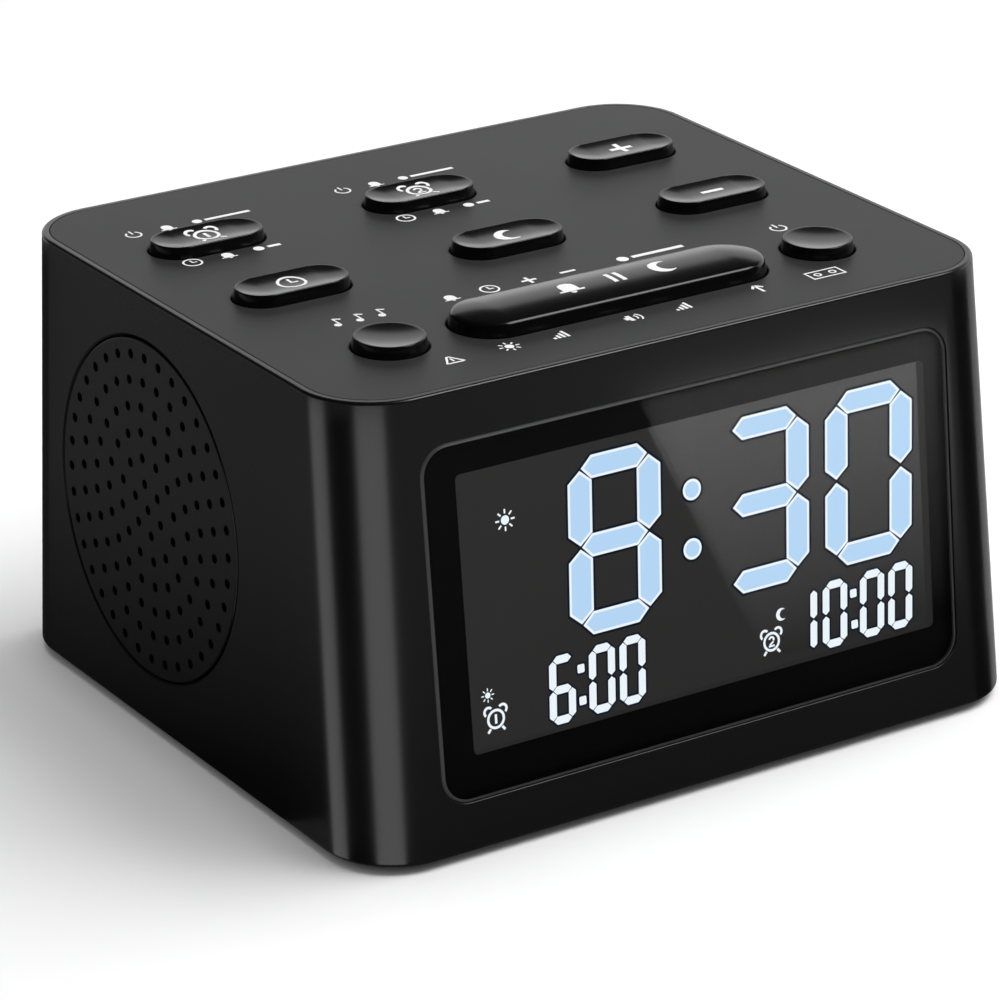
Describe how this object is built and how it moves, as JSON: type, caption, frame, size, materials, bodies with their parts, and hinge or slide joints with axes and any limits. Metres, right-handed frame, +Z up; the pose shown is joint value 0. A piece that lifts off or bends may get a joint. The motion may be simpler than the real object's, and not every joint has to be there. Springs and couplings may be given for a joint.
{
  "type": "sound machine alarm clock",
  "caption": "Compact bedside sound machine alarm clock with a leaning front display, a round perforated side speaker, raised top buttons and a wide snooze bar.",
  "frame": {"origin": "centre of the footprint, on the surface that the feet stand on", "axes": "+X to the right as seen by someone reading the display, +Y towards the back, +Z up"},
  "size_m": [0.128, 0.114, 0.0772],
  "materials": {
    "housing": "fine matte moulding",
    "deck": "fine matte moulding",
    "buttons": "polished",
    "lens": "clear acrylic with a black printed border",
    "display": "dark liquid crystal panel",
    "diffuser": "satin white",
    "board": "solder mask",
    "component": "moulded",
    "ivory": "moulded",
    "steel": "bright",
    "ferrite": "ground",
    "copper": "bright",
    "paper": "pressed paper",
    "soft": "matte",
    "wheels": "fine matte moulding",
    "wire": "insulated"
  },
  "bodies": {
    "housing": {"body_shell": "housing", "base_cover": "housing", "speaker_grille": "housing", "top_panel": "deck", "display_lens": "lens", "lcd_panel": "display", "backlight_panel": "diffuser", "lcd_frame": "diffuser", "main_board": "board", "button_board": "board", "rear_board": "board", "board_chips": "component", "tact_switches": "component", "thumbwheel_pots": "component", "dc_jack": "component", "ribbon_sockets": "ivory", "ribbon_cable": "ivory", "case_screws": "steel", "panel_screws": "steel", "board_screws": "steel", "speaker_screws": "steel", "speaker_basket": "steel", "speaker_yoke": "steel", "coin_cell": "steel", "jack_pin": "steel", "speaker_magnet": "ferrite", "cell_contacts": "copper", "rubber_feet": "soft", "speaker_gasket": "soft", "speaker_surround": "soft", "speaker_leads": "wire"},
    "alarm_one_button": {"alarm_one_cap": "buttons", "alarm_one_stem": "ivory"},
    "alarm_two_button": {"alarm_two_cap": "buttons", "alarm_two_stem": "ivory"},
    "set_up_button": {"set_up_cap": "buttons", "set_up_stem": "ivory"},
    "time_set_button": {"time_set_cap": "buttons", "time_set_stem": "ivory"},
    "sleep_button": {"sleep_cap": "buttons", "sleep_stem": "ivory"},
    "set_down_button": {"set_down_cap": "buttons", "set_down_stem": "ivory"},
    "sounds_button": {"sounds_cap": "buttons", "sounds_stem": "ivory"},
    "snooze_button": {"snooze_cap": "buttons", "snooze_stem": "ivory"},
    "power_button": {"power_cap": "buttons", "power_stem": "ivory"},
    "volume_control": {"volume_wheel": "wheels"},
    "dimmer_control": {"dimmer_wheel": "wheels"},
    "cell_door": {"battery_door": "housing"},
    "speaker_driver": {"speaker_cone": "paper", "voice_coil": "copper", "dust_cap": "paper"}
  },
  "joints": [
    {"name": "alarm_one_press", "type": "slide", "parent": "housing", "child": "alarm_one_button", "axis": [0, 0, -1], "range_m": [0, 0.0005], "stiffness_N_per_m": 800},
    {"name": "alarm_two_press", "type": "slide", "parent": "housing", "child": "alarm_two_button", "axis": [0, 0, -1], "range_m": [0, 0.0005], "stiffness_N_per_m": 800},
    {"name": "set_up_press", "type": "slide", "parent": "housing", "child": "set_up_button", "axis": [0, 0, -1], "range_m": [0, 0.0005], "stiffness_N_per_m": 800},
    {"name": "time_set_press", "type": "slide", "parent": "housing", "child": "time_set_button", "axis": [0, 0, -1], "range_m": [0, 0.0005], "stiffness_N_per_m": 800},
    {"name": "sleep_press", "type": "slide", "parent": "housing", "child": "sleep_button", "axis": [0, 0, -1], "range_m": [0, 0.0005], "stiffness_N_per_m": 800},
    {"name": "set_down_press", "type": "slide", "parent": "housing", "child": "set_down_button", "axis": [0, 0, -1], "range_m": [0, 0.0005], "stiffness_N_per_m": 800},
    {"name": "sounds_press", "type": "slide", "parent": "housing", "child": "sounds_button", "axis": [0, 0, -1], "range_m": [0, 0.0005], "stiffness_N_per_m": 800},
    {"name": "snooze_press", "type": "slide", "parent": "housing", "child": "snooze_button", "axis": [0, 0, -1], "range_m": [0, 0.0005], "stiffness_N_per_m": 800},
    {"name": "power_press", "type": "slide", "parent": "housing", "child": "power_button", "axis": [0, 0, -1], "range_m": [0, 0.0005], "stiffness_N_per_m": 800},
    {"name": "volume_turn", "type": "hinge", "parent": "housing", "child": "volume_control", "pos_m": [-0.018, 0.049, 0.0522], "axis": [0, 0, 1], "range_deg": [-135, 135]},
    {"name": "dimmer_turn", "type": "hinge", "parent": "housing", "child": "dimmer_control", "pos_m": [0.018, 0.049, 0.0522], "axis": [0, 0, 1], "range_deg": [-135, 135]},
    {"name": "door_twist", "type": "hinge", "parent": "housing", "child": "cell_door", "pos_m": [0, 0.02, 0.002], "axis": [0, 0, -1], "range_deg": [0, 50]},
    {"name": "cone_throw", "type": "slide", "parent": "housing", "child": "speaker_driver", "axis": [-0.9996, 0, 0.0274], "range_m": [-0.0005, 0.0005], "stiffness_N_per_m": 600}
  ]
}
